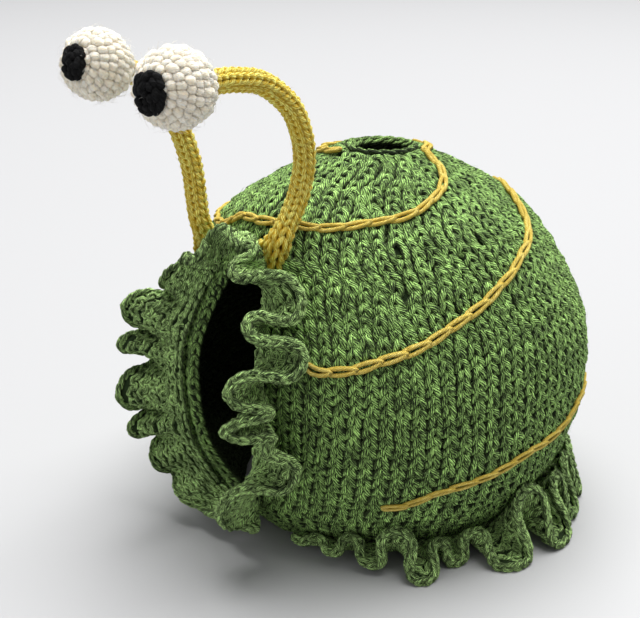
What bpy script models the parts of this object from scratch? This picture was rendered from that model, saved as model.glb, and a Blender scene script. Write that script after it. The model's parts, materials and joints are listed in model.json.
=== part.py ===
"""A knitted tea cosy shaped like a snail. Lengths are millimetres until make_mesh turns them into metres.

The dome stands on Z, its hem rests on z = 0, the spout slit faces -Y and the handle slit faces +Y.
Angles round the dome start at the spout slit and grow towards +X.
"""
import math

import bpy
import numpy as np

# Frame: the dome's axis is moved by this much so that the middle of the whole cosy is at X = Y = 0.
AXIS_X = -0.89
AXIS_Y = 17.16

# Dome
CLOTH = 3.0
HEM_LEDGE = 4.2
PROFILE = (
    # height, radius: the outer face, from the hem up to the hole for the lid's knob
    (0.0, 49.3),
    (14.7, 60.6),
    (30.7, 68.0),
    (49.1, 69.9),
    (67.5, 68.8),
    (85.9, 61.0),
    (101.9, 48.5),
    (114.2, 28.7),
    (122.8, 10.5),
)
COLUMNS = 22
ROWS_BETWEEN = (2, 2, 13, 5)

# Slits, as ellipses laid on the dome: heights of the two ends and half the width
SPOUT_SLIT = {"low": 15.0, "high": 97.0, "half_width": 16.0}
HANDLE_SLIT = {"low": 22.0, "high": 97.0, "half_width": 6.5}

# The cloth is pushed out where the spout would leave under the top of its slit.
BULGE = {"height": 4.0, "s": 122.0, "along": 15.0, "across": 20.0}

# Frills
FRILL_CLOTH = 2.8
ROOT_GAP = 0.42
ROOT_INSET = 2.4
FRILL_ROWS = 5
FRILL_LOOP = 0.32
HEM_FRILL_MIDDLE = 62.0
SPOUT_FRILL = (
    # width along the root, swing, reach, fold away from the slit in degrees; swing alternates in, out
    (6.0, 2.0, 6.5, 2.0),
    (6.0, 3.0, 8.0, 15.0),
    (18.0, 10.5, 13.0, 32.0),
    (10.0, 8.0, 15.0, 50.0),
    (3.0, 0.6, 15.0, 48.0),
    (3.0, 0.6, 15.0, 46.0),
    (5.0, 11.5, 17.0, 42.0),
    (1.5, 1.5, 15.0, 45.0),
    (7.0, 10.0, 17.0, 42.0),
    (7.5, 8.5, 15.5, 54.0),
    (4.5, 8.5, 16.0, 50.0),
    (10.5, 9.0, 12.8, 42.0),
    (6.0, 6.0, 10.5, 8.0),
    (4.5, 2.5, 7.0, -8.0),
    (9.0, 2.0, 6.0, -15.0),
    (9.0, 3.0, 6.5, -5.0),
    (7.0, 3.5, 8.5, 10.0),
    (5.0, 3.0, 10.0, 30.0),
    (7.0, 3.0, 13.0, 60.0),
    (3.5, 4.0, 15.5, 66.0),
    (9.5, 9.0, 21.5, 72.0),
    (2.2, 3.0, 20.0, 72.0),
    (4.0, 7.5, 23.0, 72.0),
    (5.4, 4.5, 20.5, 72.0),
    (10.0, 10.0, 21.0, 70.0),
    (1.8, 3.0, 20.5, 70.0),
    (4.5, 7.5, 21.5, 68.0),
    (3.0, 3.0, 19.0, 64.0),
    (6.0, 4.0, 18.0, 60.0),
    (3.5, 2.5, 16.5, 50.0),
    (5.6, 2.5, 14.0, 40.0),
    (4.0, 2.0, 11.0, 20.0),
    (5.1, 1.5, 8.0, 6.0),
)
HEM_ROOT_HEIGHT = 5.2
HEM_FRILL_STARTS = 19.0
HEM_FRILL_SIDE = (
    # width along the root in degrees, swing, reach, rise in degrees; swing alternates down, up
    (5.5, 1.0, 4.0, 30.0),
    (5.5, 1.0, 5.0, 30.0),
    (6.0, 2.5, 6.5, 30.0),
    (6.0, 3.0, 8.0, 28.0),
    (6.5, 4.0, 8.5, 22.0),
    (8.0, 7.5, 12.0, 20.0),
    (7.0, 7.0, 15.0, 14.0),
    (5.0, 3.5, 8.0, 10.0),
    (6.0, 4.5, 8.5, 8.0),
    (6.0, 4.0, 8.0, 12.0),
    (9.0, 10.0, 17.5, 16.0),
    (10.0, 12.0, 17.5, 22.0),
    (9.0, 10.0, 18.5, 20.0),
    (7.0, 9.0, 16.0, 20.0),
    (7.0, 8.5, 15.5, 20.0),
    (7.5, 9.0, 15.5, 20.0),
    (7.0, 8.5, 15.5, 18.0),
)
HEM_FRILL_BACK = (
    (7.5, 8.0, 16.0, 18.0),
    (6.5, 7.0, 15.5, 17.0),
    (8.0, 8.5, 17.0, 19.0),
    (7.0, 7.0, 16.0, 17.0),
    (7.5, 8.5, 16.5, 18.0),
)
HEM_FRILL_BACK_REPEATS = 5
HEM_FRILL_END = (
    (7.0, 7.0, 14.0, 16.0),
    (6.5, 6.0, 11.5, 14.0),
    (6.5, 5.0, 9.0, 12.0),
    (6.0, 4.0, 7.0, 10.0),
    (6.0, 3.5, 6.5, 8.0),
    (5.5, 2.5, 6.0, 6.0),
)

# Sewn chain line: angle round the dome in degrees and height, read down the coil
CHAIN_WIDTH = 2.5
CHAIN_HEIGHT = 1.5
CHAIN_GAP = 0.5
CHAIN_STEP = 6.5
CHAIN_UPPER = (
    (-13.5, 120.8),
    (-37.5, 119.6),
    (-63.0, 117.9),
    (-100.0, 117.0),
    (-150.0, 118.2),
    (-200.0, 120.2),
    (-230.0, 121.1),
    (-248.5, 120.8),
    (-260.0, 117.1),
    (-276.5, 113.8),
    (-290.5, 110.8),
    (-302.5, 108.7),
    (-320.5, 106.7),
    (-338.5, 103.9),
    (-347.5, 103.7),
    (-362.0, 102.6),
    (-376.0, 101.9),
    (-388.0, 98.4),
    (-420.0, 95.8),
    (-460.0, 95.6),
    (-500.0, 97.8),
    (-530.0, 101.4),
    (-560.0, 105.6),
    (-575.0, 107.3),
    (-584.5, 106.7),
    (-598.5, 103.4),
    (-612.5, 98.9),
    (-626.0, 94.5),
    (-638.5, 89.0),
    (-652.5, 82.8),
    (-667.5, 75.9),
    (-679.5, 71.5),
    (-689.0, 69.6),
    (-692.5, 71.0),
)
CHAIN_FAR = (
    (-33.0, 66.0),
    (-60.0, 63.5),
    (-90.0, 60.5),
    (-120.0, 57.0),
    (-150.0, 53.5),
    (-171.0, 51.0),
)
CHAIN_LOWER = (
    (172.0, 48.5),
    (150.0, 46.2),
    (130.0, 45.0),
    (114.5, 43.8),
    (107.0, 41.1),
    (96.0, 38.8),
    (81.5, 36.4),
    (70.0, 33.6),
    (61.5, 31.4),
    (53.5, 27.6),
    (47.0, 25.3),
)

# Eye stalks: where each is sewn on (angle and height), then points along the middle of the cord
STALK_RADIUS = 3.3
STALK_FOOT_RADIUS = 5.2
STALK_FOOT_GAP = 0.6
STALK_SIDES = 9
STALK_NEAR = {
    "foot": (12.5, 98.5),
    "path": (
        (13.0, -54.8, 104.5),
        (14.0, -49.6, 114.0),
        (14.9, -47.3, 122.7),
        (15.8, -47.6, 130.3),
        (16.7, -50.3, 138.1),
        (17.6, -55.1, 145.1),
        (18.5, -65.1, 152.0),
        (19.4, -77.0, 154.2),
        (20.0, -83.6, 154.2),
    ),
}
STALK_FAR = {
    "foot": (-21.5, 94.5),
    "path": (
        (-20.4, -59.2, 102.5),
        (-20.4, -60.6, 111.0),
        (-20.4, -61.6, 120.1),
        (-20.4, -64.3, 129.8),
        (-20.4, -68.6, 139.5),
        (-20.4, -75.5, 148.0),
        (-20.4, -82.2, 152.6),
    ),
}
EYE_NEAR = {"centre": (20.3, -94.9, 154.2), "radius": 10.75, "looks": (0.39, -0.92, 0.03)}
EYE_FAR = {"centre": (-20.3, -92.7, 155.3), "radius": 10.1, "looks": (0.44, -0.88, 0.2)}
PUPIL_SPREAD = 27.0
PUPIL_RAISED = 2.0
SEWN_GAP = 0.35


def unit(vectors):
    """The vectors at length one."""
    vectors = np.asarray(vectors, float)
    return vectors / np.linalg.norm(vectors, axis=-1, keepdims=True)


def smooth_curve(points, count):
    """A Catmull-Rom curve through the points, as evenly spaced samples."""
    points = np.asarray(points, float)
    padded = np.vstack([2 * points[0] - points[1], points, 2 * points[-1] - points[-2]])
    samples = []
    for first in range(len(points) - 1):
        a, b, c, d = padded[first : first + 4]
        for t in np.linspace(0, 1, 24, endpoint=False):
            samples.append(
                0.5 * (2 * b + (c - a) * t + (2 * a - 5 * b + 4 * c - d) * t**2 + (3 * b - a - 3 * c + d) * t**3)
            )
    samples.append(points[-1])
    samples = np.array(samples)
    lengths = np.concatenate([[0], np.cumsum(np.linalg.norm(np.diff(samples, axis=0), axis=1))])
    where = np.linspace(0, lengths[-1], count)
    return np.stack([np.interp(where, lengths, column) for column in samples.T], -1)


OUTLINE = smooth_curve(PROFILE, 400)
OUTLINE_S = np.concatenate([[0], np.cumsum(np.linalg.norm(np.diff(OUTLINE, axis=0), axis=1))])
DOME_S = OUTLINE_S[-1]


def outline_at(s):
    """Height and radius of the dome's outline at distance s from the hem."""
    return np.interp(s, OUTLINE_S, OUTLINE[:, 0]), np.interp(s, OUTLINE_S, OUTLINE[:, 1])


def s_at_height(height):
    """Distance from the hem, along the outline, of this height."""
    return np.interp(height, OUTLINE[:, 0], OUTLINE_S)


def swell(angle, s):
    """How far the knitting stands out from the plain outline here."""
    turn = (np.asarray(angle) + math.pi) % (2 * math.pi) - math.pi
    radius = outline_at(s)[1]
    across = turn * radius / BULGE["across"]
    along = (s - BULGE["s"]) / BULGE["along"]
    spout = BULGE["height"] * np.exp(-0.5 * across**2 - 0.5 * along**2)
    uneven = 0.45 * np.sin(5 * turn + 0.06 * s) + 0.35 * np.sin(3 * turn - 0.09 * s + 1.0)
    fade = np.clip(s / 25, 0, 1) * np.clip((DOME_S - s) / 25, 0, 1)
    return spout + uneven * fade


def dome_only(angle, s):
    """A point of the dome's outer face."""
    step = 0.5
    low_height, low_radius = outline_at(np.clip(s - step, 0, DOME_S))
    top_height, top_radius = outline_at(np.clip(s + step, 0, DOME_S))
    slope = unit(np.stack([top_radius - low_radius, top_height - low_height], -1))
    height, radius = outline_at(s)
    out = swell(angle, s)
    radius = radius + out * slope[..., 1]
    height = height - out * slope[..., 0]
    return np.stack([radius * np.sin(angle), -radius * np.cos(angle), height], -1)


def dome(angle, s, lift=0.0):
    """A point at this height above the dome's outer face, with the way out of the face there."""
    angle, s = np.broadcast_arrays(np.asarray(angle, float), np.asarray(s, float))
    step = 0.4
    round_it = dome_only(angle + step / 60, s) - dome_only(angle - step / 60, s)
    up_it = dome_only(angle, np.clip(s + step, 0, DOME_S)) - dome_only(angle, np.clip(s - step, 0, DOME_S))
    out = unit(np.cross(round_it, up_it))
    return dome_only(angle, s) + lift * out, out


def slit_edge(slit, s):
    """Angle between the middle of a slit and its edge, at distance s from the hem."""
    low = s_at_height(slit["low"])
    high = s_at_height(slit["high"])
    along = (2 * s - low - high) / (high - low)
    return slit["half_width"] * math.sqrt(max(0.0, 1 - along**2)) / outline_at(s)[1]


def make_mesh(name, points, faces):
    """A node from points in millimetres."""
    points = np.asarray(points, float) + (AXIS_X, AXIS_Y, 0.0)
    mesh = bpy.data.meshes.new(name)
    mesh.from_pydata([tuple(point / 1000) for point in points], [], faces)
    mesh.validate()
    node = bpy.data.objects.new(name, mesh)
    bpy.context.scene.collection.objects.link(node)
    bpy.context.view_layer.objects.active = node
    node.select_set(True)
    bpy.ops.object.mode_set(mode="EDIT")
    bpy.ops.mesh.select_all(action="SELECT")
    bpy.ops.mesh.normals_make_consistent(inside=False)
    bpy.ops.object.mode_set(mode="OBJECT")
    node.select_set(False)
    return node


def close_sheet(outer, inner, faces):
    """The faces of a solid between two copies of a sheet, with walls along its free edges."""
    count = len(outer)
    used = {}
    for face in faces:
        for first, second in zip(face, face[1:] + face[:1]):
            used[(first, second)] = used.get((first, second), 0) + 1
    solid = list(faces)
    solid += [tuple(count + corner for corner in reversed(face)) for face in faces]
    for first, second in used:
        if (second, first) not in used:
            solid.append((second, first, count + first, count + second))
    return np.vstack([outer, inner]), solid


def build_body():
    """The dome: one cloth with two slits, a round hole at the top and a flat hem."""
    stops = [0.0]
    stops += [s_at_height(SPOUT_SLIT["low"]), s_at_height(HANDLE_SLIT["low"])]
    stops += [s_at_height(SPOUT_SLIT["high"]), DOME_S]
    rows = [0.0]
    for low, high, count in zip(stops, stops[1:], ROWS_BETWEEN):
        rows += list(np.linspace(low, high, count + 1)[1:])
    index = {}
    outer = []
    inner = []

    def corner(angle, s):
        key = (round(math.cos(angle), 5), round(math.sin(angle), 5), round(s, 4))
        if key not in index:
            index[key] = len(outer)
            point, out = dome(angle, s)
            under = point - CLOTH * out
            if s == 0:
                point = point * (1, 1, 0)
                inward = unit(point) * HEM_LEDGE
                under = point - inward
            outer.append(point)
            inner.append(under)
        return index[key]

    faces = []
    for side in (1, -1):
        grid = []
        for s in rows:
            start = slit_edge(SPOUT_SLIT, s)
            end = math.pi - slit_edge(HANDLE_SLIT, s)
            grid.append([corner(side * (start + (end - start) * c / COLUMNS), s) for c in range(COLUMNS + 1)])
        for low, high in zip(grid, grid[1:]):
            for c in range(COLUMNS):
                face = (low[c], low[c + 1], high[c + 1], high[c])
                faces.append(face if side == 1 else tuple(reversed(face)))
    make_mesh("body", *close_sheet(np.array(outer), np.array(inner), faces))


def waves(table, per_wave):
    """Along a frill: the share of the root passed, the swing's phase and the table's columns."""
    table = np.asarray(table, float)
    edges = np.concatenate([[0], np.cumsum(table[:, 0])]) / table[:, 0].sum()
    middles = (edges[:-1] + edges[1:]) / 2
    steps = np.linspace(0, len(table), len(table) * per_wave + 1)
    share = np.interp(steps, np.arange(len(edges)), edges)
    return share, steps * math.pi, [np.interp(share, middles, column) for column in table.T]


def thick_sheet(name, grid, thickness):
    """A node from a grid of points in the middle of a cloth."""
    normal = unit(np.cross(np.gradient(grid, axis=0), np.gradient(grid, axis=1)))
    length, rows = grid.shape[:2]
    outer = (grid + normal * thickness / 2).reshape(-1, 3)
    inner = (grid - normal * thickness / 2).reshape(-1, 3)
    outer[:, 2] = np.maximum(outer[:, 2], 0)
    inner[:, 2] = np.maximum(inner[:, 2], 0)
    faces = []
    for i in range(length - 1):
        for k in range(rows - 1):
            here = i * rows + k
            faces.append((here, here + rows, here + rows + 1, here + 1))
    make_mesh(name, *close_sheet(outer, inner, faces))


def swing_out(root, ahead, forward, sideways, phase, width, swing, reach):
    """The cloth between a root line and its waving outer edge, whose folds open out like a loop."""
    grid = []
    loop = FRILL_LOOP * width * np.clip(swing / 8, 0, 1)
    for v in np.linspace(0, 1, FRILL_ROWS + 1):
        side = -swing * v**1.45 * np.sin(phase)
        sway = -loop * v**1.5 * np.sin(2 * phase)
        grid.append(
            root
            + forward * (reach * v)[:, None]
            + sideways * side[:, None]
            + ahead * sway[:, None]
        )
    return np.stack(grid, 1)


def build_spout_frill():
    """The ruffled strip sewn round the spout slit; its ends meet under the slit."""
    share, phase, (width, swing, reach, fold) = waves(SPOUT_FRILL, 5)
    fold = np.radians(fold)
    low = s_at_height(SPOUT_SLIT["low"])
    high = s_at_height(SPOUT_SLIT["high"])

    def ring(turn, inset):
        s = (low + high) / 2 - np.cos(turn) * ((high - low) / 2 + inset)
        angle = np.sin(turn) * (SPOUT_SLIT["half_width"] + inset) / outline_at(s)[1]
        return angle, s

    dense = np.linspace(0.05, 2 * math.pi - 0.05, 600)
    path = dome(*ring(dense, ROOT_INSET))[0]
    length = np.concatenate([[0], np.cumsum(np.linalg.norm(np.diff(path, axis=0), axis=1))])
    turn = np.interp(share * length[-1], length, dense)
    root, out = dome(*ring(turn, ROOT_INSET), ROOT_GAP + FRILL_CLOTH / 2)
    ahead = unit(dome(*ring(turn + 0.01, ROOT_INSET))[0] - dome(*ring(turn - 0.01, ROOT_INSET))[0])
    away = unit(np.cross(ahead, out))
    forward = out * np.cos(fold)[:, None] + away * np.sin(fold)[:, None]
    sideways = away * np.cos(fold)[:, None] - out * np.sin(fold)[:, None]
    grid = swing_out(root, ahead, forward, sideways, phase, width, swing, reach)
    thick_sheet("spout_frill", grid, FRILL_CLOTH)


def build_hem_frill():
    """The ruffled strip knitted on round the hem, open under the spout slit; its low folds lie on the table."""
    table = HEM_FRILL_SIDE + HEM_FRILL_BACK * HEM_FRILL_BACK_REPEATS + HEM_FRILL_END
    share, phase, (width, swing, reach, rise) = waves(table, 5)
    rise = np.radians(rise)
    start = math.radians(HEM_FRILL_STARTS)
    angle = start + share * 2 * (math.pi - start)
    s = s_at_height(HEM_ROOT_HEIGHT)
    root, out = dome(angle, np.full_like(angle, s), ROOT_GAP + FRILL_CLOTH / 2)
    ahead = np.stack([np.cos(angle), np.sin(angle), 0 * angle], -1)
    outward = np.stack([np.sin(angle), -np.cos(angle), 0 * angle], -1)
    up = np.array([0.0, 0.0, 1.0])
    forward = outward * np.cos(rise)[:, None] + up * np.sin(rise)[:, None]
    sideways = up * np.cos(rise)[:, None] - outward * np.sin(rise)[:, None]
    grid = swing_out(root, ahead, forward, sideways, phase, np.radians(width) * HEM_FRILL_MIDDLE, swing, reach)
    grid[..., 2] = np.maximum(grid[..., 2], FRILL_CLOTH / 2)
    thick_sheet("hem_frill", grid, FRILL_CLOTH)


def tube(name, centres, sides, across, up, widths, heights):
    """A cord along a line of centres, with closed ends."""
    rings = []
    for k in range(sides):
        turn = 2 * math.pi * k / sides
        rings.append(
            centres
            + across * (np.cos(turn) * widths)[:, None]
            + up * (np.sin(turn) * heights)[:, None]
        )
    points = np.stack(rings, 1).reshape(-1, 3)
    faces = []
    for i in range(len(centres) - 1):
        for k in range(sides):
            j = (k + 1) % sides
            faces.append((i * sides + k, i * sides + j, (i + 1) * sides + j, (i + 1) * sides + k))
    last = (len(centres) - 1) * sides
    faces.append(tuple(range(sides)))
    faces.append(tuple(last + k for k in reversed(range(sides))))
    make_mesh(name, points, faces)


def build_chain(name, table):
    """One run of the sewn chain line, lying on the dome."""
    rows = smooth_curve([(angle * 0.9, height) for angle, height in table], 400)
    angle = np.radians(rows[:, 0] / 0.9)
    s = s_at_height(rows[:, 1])
    path = dome(angle, s)[0]
    length = np.concatenate([[0], np.cumsum(np.linalg.norm(np.diff(path, axis=0), axis=1))])
    where = np.linspace(0, length[-1], int(length[-1] / CHAIN_STEP) + 1)
    angle = np.interp(where, length, angle)
    s = np.interp(where, length, s)
    centres, up = dome(angle, s, CHAIN_GAP + CHAIN_HEIGHT / 2)
    ahead = unit(np.gradient(centres, axis=0))
    across = unit(np.cross(ahead, up))
    taper = np.ones(len(centres))
    taper[[0, -1]] = 0.55
    tube(name, centres, 6, across, up, taper * CHAIN_WIDTH / 2, taper * CHAIN_HEIGHT / 2)


def build_stalk(name, stalk):
    """A knitted cord on a bent wire, splayed where it is sewn to the dome."""
    angle, height = stalk["foot"]
    foot, out = dome(math.radians(angle), s_at_height(height), STALK_FOOT_GAP)
    centres = smooth_curve([tuple(foot)] + list(stalk["path"]), 22)
    ahead = unit(np.gradient(centres, axis=0))
    lean = np.clip(1 - np.arange(len(centres)) / 3, 0, 1)[:, None]
    ahead = unit(ahead * (1 - lean) + out * lean)
    across = unit(np.cross(ahead, np.cross((1.0, 0.0, 0.0), ahead)))
    up = np.cross(across, ahead)
    radius = STALK_RADIUS + (STALK_FOOT_RADIUS - STALK_RADIUS) * lean[:, 0]
    tube(name, centres, STALK_SIDES, across, up, radius, radius)


def ball_points(centre, radius, looks, polar, turns):
    """Points round a ball, by angle from the way it looks."""
    looks = unit(looks)
    side = unit(np.cross(looks, (0.0, 0.0, 1.0)))
    top = np.cross(side, looks)
    points = []
    for angle in polar:
        for turn in turns:
            way = looks * math.cos(angle) + (side * math.cos(turn) + top * math.sin(turn)) * math.sin(angle)
            points.append(np.asarray(centre) + radius * way)
    return np.array(points)


def build_eye(name, eye):
    """A stuffed ball."""
    sides = 20
    bands = 12
    turns = [2 * math.pi * k / sides for k in range(sides)]
    polar = [math.pi * band / bands for band in range(1, bands)]
    points = ball_points(eye["centre"], eye["radius"], eye["looks"], polar, turns)
    ends = ball_points(eye["centre"], eye["radius"], eye["looks"], [0.0, math.pi], [0.0])
    front = len(points)
    faces = []
    for band in range(bands - 2):
        for k in range(sides):
            j = (k + 1) % sides
            faces.append((band * sides + k, band * sides + j, (band + 1) * sides + j, (band + 1) * sides + k))
    last = (bands - 2) * sides
    for k in range(sides):
        j = (k + 1) % sides
        faces.append((front, j, k))
        faces.append((front + 1, last + k, last + j))
    make_mesh(name, np.vstack([points, ends]), faces)


def build_pupil(name, eye):
    """A round patch sewn on the front of the ball."""
    sides = 18
    turns = [2 * math.pi * k / sides for k in range(sides)]
    spread = math.radians(PUPIL_SPREAD)
    inside = eye["radius"] + SEWN_GAP
    layers = (
        # share of the spread, radius
        (0.5, inside),
        (0.96, inside),
        (1.0, inside + 0.6 * PUPIL_RAISED),
        (0.8, inside + PUPIL_RAISED),
        (0.4, inside + PUPIL_RAISED * 1.1),
    )
    rings = [ball_points(eye["centre"], radius, eye["looks"], [share * spread], turns) for share, radius in layers]
    ends = [
        ball_points(eye["centre"], inside, eye["looks"], [0.0], [0.0]),
        ball_points(eye["centre"], inside + PUPIL_RAISED * 1.1, eye["looks"], [0.0], [0.0]),
    ]
    faces = []
    for ring in range(len(rings) - 1):
        for k in range(sides):
            j = (k + 1) % sides
            faces.append((ring * sides + k, ring * sides + j, (ring + 1) * sides + j, (ring + 1) * sides + k))
    back = len(rings) * sides
    last = (len(rings) - 1) * sides
    for k in range(sides):
        j = (k + 1) % sides
        faces.append((back, j, k))
        faces.append((back + 1, last + k, last + j))
    make_mesh(name, np.vstack(rings + ends), faces)


def clear_scene():
    for item in list(bpy.data.objects):
        bpy.data.objects.remove(item)


def main():
    clear_scene()
    build_body()
    build_spout_frill()
    build_hem_frill()
    build_chain("chain_upper", CHAIN_UPPER)
    build_chain("chain_far", CHAIN_FAR)
    build_chain("chain_lower", CHAIN_LOWER)
    build_stalk("stalk_near", STALK_NEAR)
    build_stalk("stalk_far", STALK_FAR)
    build_eye("eye_near", EYE_NEAR)
    build_eye("eye_far", EYE_FAR)
    build_pupil("pupil_near", EYE_NEAR)
    build_pupil("pupil_far", EYE_FAR)


main()
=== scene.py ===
"""The looks of the knitted snail tea cosy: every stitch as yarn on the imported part's shapes.

Lengths are millimetres until new_piece turns them into metres. The dome stands on Z, its hem rests on z = 0,
the spout slit faces -Y, and angles round the dome start at the spout slit and grow towards +X. A distance
called s runs up the dome's outline from the hem.
"""
import json
import math

import bpy
import numpy as np
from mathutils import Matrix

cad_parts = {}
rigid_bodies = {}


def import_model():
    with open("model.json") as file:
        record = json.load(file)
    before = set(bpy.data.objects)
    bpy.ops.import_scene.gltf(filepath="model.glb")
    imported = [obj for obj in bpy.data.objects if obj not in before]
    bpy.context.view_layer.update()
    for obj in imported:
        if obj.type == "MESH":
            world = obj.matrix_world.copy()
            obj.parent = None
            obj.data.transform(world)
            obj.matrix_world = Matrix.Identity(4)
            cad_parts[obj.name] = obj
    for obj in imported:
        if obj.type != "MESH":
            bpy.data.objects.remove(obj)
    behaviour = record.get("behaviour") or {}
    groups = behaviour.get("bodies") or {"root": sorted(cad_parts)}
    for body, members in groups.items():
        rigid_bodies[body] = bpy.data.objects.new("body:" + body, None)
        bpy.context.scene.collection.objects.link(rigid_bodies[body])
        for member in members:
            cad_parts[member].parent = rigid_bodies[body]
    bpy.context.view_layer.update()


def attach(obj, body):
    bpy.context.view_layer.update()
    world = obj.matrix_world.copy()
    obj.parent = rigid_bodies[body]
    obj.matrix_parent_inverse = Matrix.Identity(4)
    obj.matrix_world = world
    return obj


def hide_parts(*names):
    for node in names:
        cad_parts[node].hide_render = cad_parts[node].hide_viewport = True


# Camera and lights, in metres, and the camera's lens in millimetres
CAMERA_PLACE = (0.26281, -0.24654, 0.20466)
CAMERA_LOOKS = (-0.6969, 0.6249, -0.3519)
CAMERA_LENS = 64.74
LIGHTS = (
    # name, place, size, power
    ("key_light", (-0.2, 0.8, 3.0), 3.0, 242.0),
    ("front_light", (0.0, -1.2, 0.6), 0.8, 2.0),
)
LIGHTS_AIM = (0.0, 0.0, 0.06)
FLOOR_HALF = 30.0

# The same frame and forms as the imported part
AXIS_X = -0.89
AXIS_Y = 17.16
PROFILE = (
    # height, radius: the outer face, from the hem up to the hole for the lid's knob
    (0.0, 49.3),
    (14.7, 60.6),
    (30.7, 68.0),
    (49.1, 69.9),
    (67.5, 68.8),
    (85.9, 61.0),
    (101.9, 48.5),
    (114.2, 28.7),
    (122.8, 10.5),
)
SPOUT_SLIT = {"low": 15.0, "high": 97.0, "half_width": 16.0}
HANDLE_SLIT = {"low": 22.0, "high": 97.0, "half_width": 6.5}
BULGE = {"height": 4.0, "s": 122.0, "along": 15.0, "across": 20.0}
DENT_FADE = 25.0
SLIT_FADE = 90.0

# Frills: their cloth, the gap under the sewn edge and its distance from the slit, and how round the folds are
FRILL_CLOTH = 2.8
ROOT_GAP = 0.42
ROOT_INSET = 2.4
FRILL_LOOP = 0.32
FULL_SWING = 8.0
WAVE_SAMPLES = 24
REACH_SAMPLES = 16
SPOUT_FRILL_ROWS = 6
HEM_FRILL_ROWS = 5
SPOUT_FRILL = (
    # width along the root, swing, reach, fold away from the slit in degrees; swing alternates in, out
    (6.0, 2.0, 6.5, 2.0),
    (6.0, 3.0, 8.0, 15.0),
    (18.0, 10.5, 13.0, 32.0),
    (10.0, 8.0, 15.0, 50.0),
    (3.0, 0.6, 15.0, 48.0),
    (3.0, 0.6, 15.0, 46.0),
    (5.0, 11.5, 17.0, 42.0),
    (1.5, 1.5, 15.0, 45.0),
    (7.0, 10.0, 17.0, 42.0),
    (7.5, 8.5, 15.5, 54.0),
    (4.5, 8.5, 16.0, 50.0),
    (10.5, 9.0, 12.8, 42.0),
    (6.0, 6.0, 10.5, 8.0),
    (4.5, 2.5, 7.0, -8.0),
    (9.0, 2.0, 6.0, -15.0),
    (9.0, 3.0, 6.5, -5.0),
    (7.0, 3.5, 8.5, 10.0),
    (5.0, 3.0, 10.0, 30.0),
    (7.0, 3.0, 13.0, 60.0),
    (3.5, 4.0, 15.5, 66.0),
    (9.5, 9.0, 21.5, 72.0),
    (2.2, 3.0, 20.0, 72.0),
    (4.0, 7.5, 23.0, 72.0),
    (5.4, 4.5, 20.5, 72.0),
    (10.0, 10.0, 21.0, 70.0),
    (1.8, 3.0, 20.5, 70.0),
    (4.5, 7.5, 21.5, 68.0),
    (3.0, 3.0, 19.0, 64.0),
    (6.0, 4.0, 18.0, 60.0),
    (3.5, 2.5, 16.5, 50.0),
    (5.6, 2.5, 14.0, 40.0),
    (4.0, 2.0, 11.0, 20.0),
    (5.1, 1.5, 8.0, 6.0),
)
HEM_FRILL_MIDDLE = 62.0
HEM_ROOT_HEIGHT = 5.2
HEM_FRILL_STARTS = 19.0
HEM_FRILL_SIDE = (
    # width along the root in degrees, swing, reach, rise in degrees; swing alternates down, up
    (5.5, 1.0, 4.0, 30.0),
    (5.5, 1.0, 5.0, 30.0),
    (6.0, 2.5, 6.5, 30.0),
    (6.0, 3.0, 8.0, 28.0),
    (6.5, 4.0, 8.5, 22.0),
    (8.0, 7.5, 12.0, 20.0),
    (7.0, 7.0, 15.0, 14.0),
    (5.0, 3.5, 8.0, 10.0),
    (6.0, 4.5, 8.5, 8.0),
    (6.0, 4.0, 8.0, 12.0),
    (9.0, 10.0, 17.5, 16.0),
    (10.0, 12.0, 17.5, 22.0),
    (9.0, 10.0, 18.5, 20.0),
    (7.0, 9.0, 16.0, 20.0),
    (7.0, 8.5, 15.5, 20.0),
    (7.5, 9.0, 15.5, 20.0),
    (7.0, 8.5, 15.5, 18.0),
)
HEM_FRILL_BACK = (
    (7.5, 8.0, 16.0, 18.0),
    (6.5, 7.0, 15.5, 17.0),
    (8.0, 8.5, 17.0, 19.0),
    (7.0, 7.0, 16.0, 17.0),
    (7.5, 8.5, 16.5, 18.0),
)
HEM_FRILL_BACK_REPEATS = 5
HEM_FRILL_END = (
    (7.0, 7.0, 14.0, 16.0),
    (6.5, 6.0, 11.5, 14.0),
    (6.5, 5.0, 9.0, 12.0),
    (6.0, 4.0, 7.0, 10.0),
    (6.0, 3.5, 6.5, 8.0),
    (5.5, 2.5, 6.0, 6.0),
)

# Sewn chain: how high it lies over the dome, the length of a link and of a degree round the dome
CHAIN_LIFT = 0.95
CHAIN_PITCH = 7.6
DEGREE_LENGTH = 0.9
CHAIN_UPPER = (
    # angle round the dome in degrees, height; the tables run down the coil
    (-13.5, 120.8),
    (-37.5, 119.6),
    (-63.0, 117.9),
    (-100.0, 117.0),
    (-150.0, 118.2),
    (-200.0, 120.2),
    (-230.0, 121.1),
    (-248.5, 120.8),
    (-260.0, 117.1),
    (-276.5, 113.8),
    (-290.5, 110.8),
    (-302.5, 108.7),
    (-320.5, 106.7),
    (-338.5, 103.9),
    (-347.5, 103.7),
    (-362.0, 102.6),
    (-376.0, 101.9),
    (-388.0, 98.4),
    (-420.0, 95.8),
    (-460.0, 95.6),
    (-500.0, 97.8),
    (-530.0, 101.4),
    (-560.0, 105.6),
    (-575.0, 107.3),
    (-584.5, 106.7),
    (-598.5, 103.4),
    (-612.5, 98.9),
    (-626.0, 94.5),
    (-638.5, 89.0),
    (-652.5, 82.8),
    (-667.5, 75.9),
    (-679.5, 71.5),
    (-689.0, 69.6),
    (-692.5, 71.0),
)
CHAIN_FAR = (
    (-33.0, 66.0),
    (-60.0, 63.5),
    (-90.0, 60.5),
    (-120.0, 57.0),
    (-150.0, 53.5),
    (-171.0, 51.0),
)
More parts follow.
